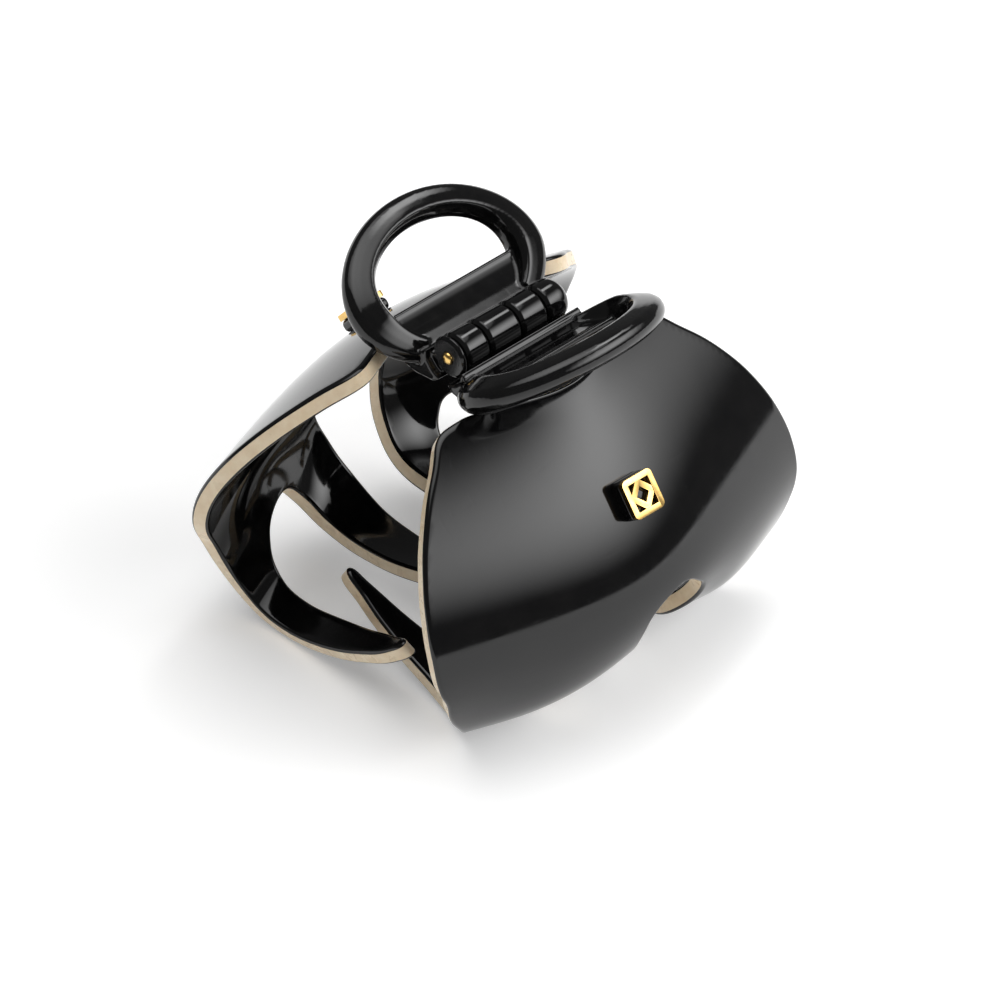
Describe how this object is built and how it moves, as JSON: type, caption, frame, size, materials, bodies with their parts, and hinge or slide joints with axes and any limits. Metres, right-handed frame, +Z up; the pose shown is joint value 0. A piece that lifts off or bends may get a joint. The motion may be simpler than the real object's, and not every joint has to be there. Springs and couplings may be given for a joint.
{
  "type": "claw hair clip",
  "caption": "Large claw hair clip: two curved toothed jaws of laminated sheet, closed by a coil spring in a barrel hinge, with a round finger loop on each jaw.",
  "frame": {"origin": "under the middle of the closed clip, on the plane it stands on (the lowest points of the jaws)", "axes": "+X along the hinge pin, which is the long way; +Y towards the back jaw, with the front jaw at -Y; +Z up towards the hinge and the finger loops"},
  "size_m": [0.0898, 0.0844, 0.0744],
  "materials": {
    "black_sheet": "polished black acetate skin",
    "cream_sheet": "polished cream acetate, seen on the cut edges",
    "black_moulding": "gloss black moulding",
    "brass": "polished gold plating",
    "spring_steel": "drawn spring wire"
  },
  "bodies": {
    "back_jaw": {"back_outer_skin": "black_sheet", "back_core": "cream_sheet", "back_inner_skin": "black_sheet", "back_bracket": "black_moulding", "hinge_pin": "brass", "torsion_spring": "spring_steel", "back_badge_base": "black_moulding", "back_badge_face": "brass", "back_badge_pin_upper": "brass", "back_badge_pin_lower": "brass"},
    "front_jaw": {"front_outer_skin": "black_sheet", "front_core": "cream_sheet", "front_inner_skin": "black_sheet", "front_bracket": "black_moulding", "front_badge_base": "black_moulding", "front_badge_face": "brass", "front_badge_pin_upper": "brass", "front_badge_pin_lower": "brass"}
  },
  "joints": [
    {"name": "jaw_hinge", "type": "hinge", "parent": "back_jaw", "child": "front_jaw", "pos_m": [0, 0, 0.06112], "axis": [-1, 0, 0], "range_deg": [0, 50], "stiffness_Nm_per_rad": 0.1, "springref_deg": -85.94, "deforming": ["torsion_spring"]}
  ]
}
